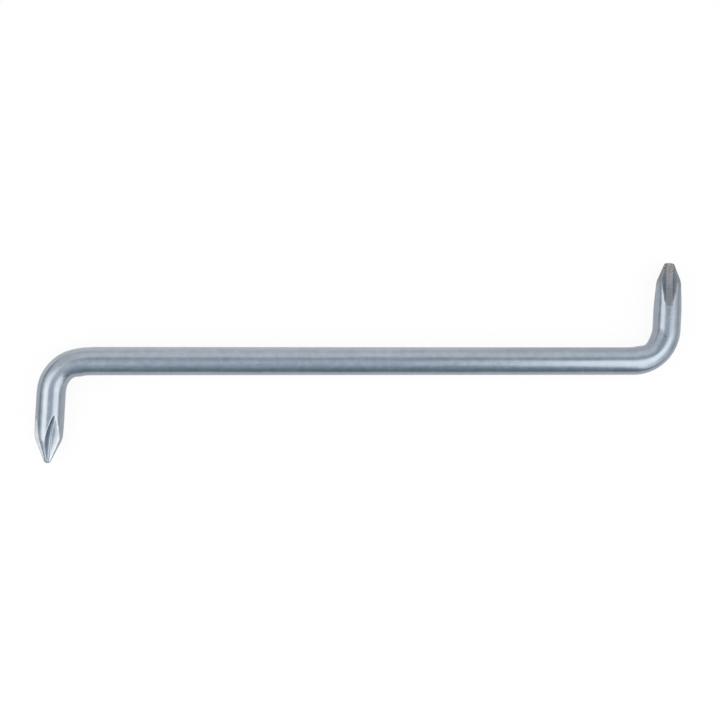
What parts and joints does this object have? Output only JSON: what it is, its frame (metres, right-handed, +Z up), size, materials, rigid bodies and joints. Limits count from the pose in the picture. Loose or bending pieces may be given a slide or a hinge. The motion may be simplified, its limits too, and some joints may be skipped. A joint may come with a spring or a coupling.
{
  "type": "offset screwdriver",
  "caption": "Offset screwdriver bent from round plated steel bar into a Z, with a short leg at each end that carries a cross point for driving screws in tight places.",
  "frame": {"origin": "under the middle of the straight run, on the surface that the tool lies on", "axes": "+X along the straight run towards the leg with the large point, +Y the way that leg points, +Z up from the surface that the tool lies on"},
  "size_m": [0.1388, 0.0428, 0.006],
  "materials": {
    "plated_steel": "satin, with fine mottling and bare, rough steel at the noses"
  },
  "bodies": {
    "root": {"bent_bar": "plated_steel"}
  },
  "joints": []
}
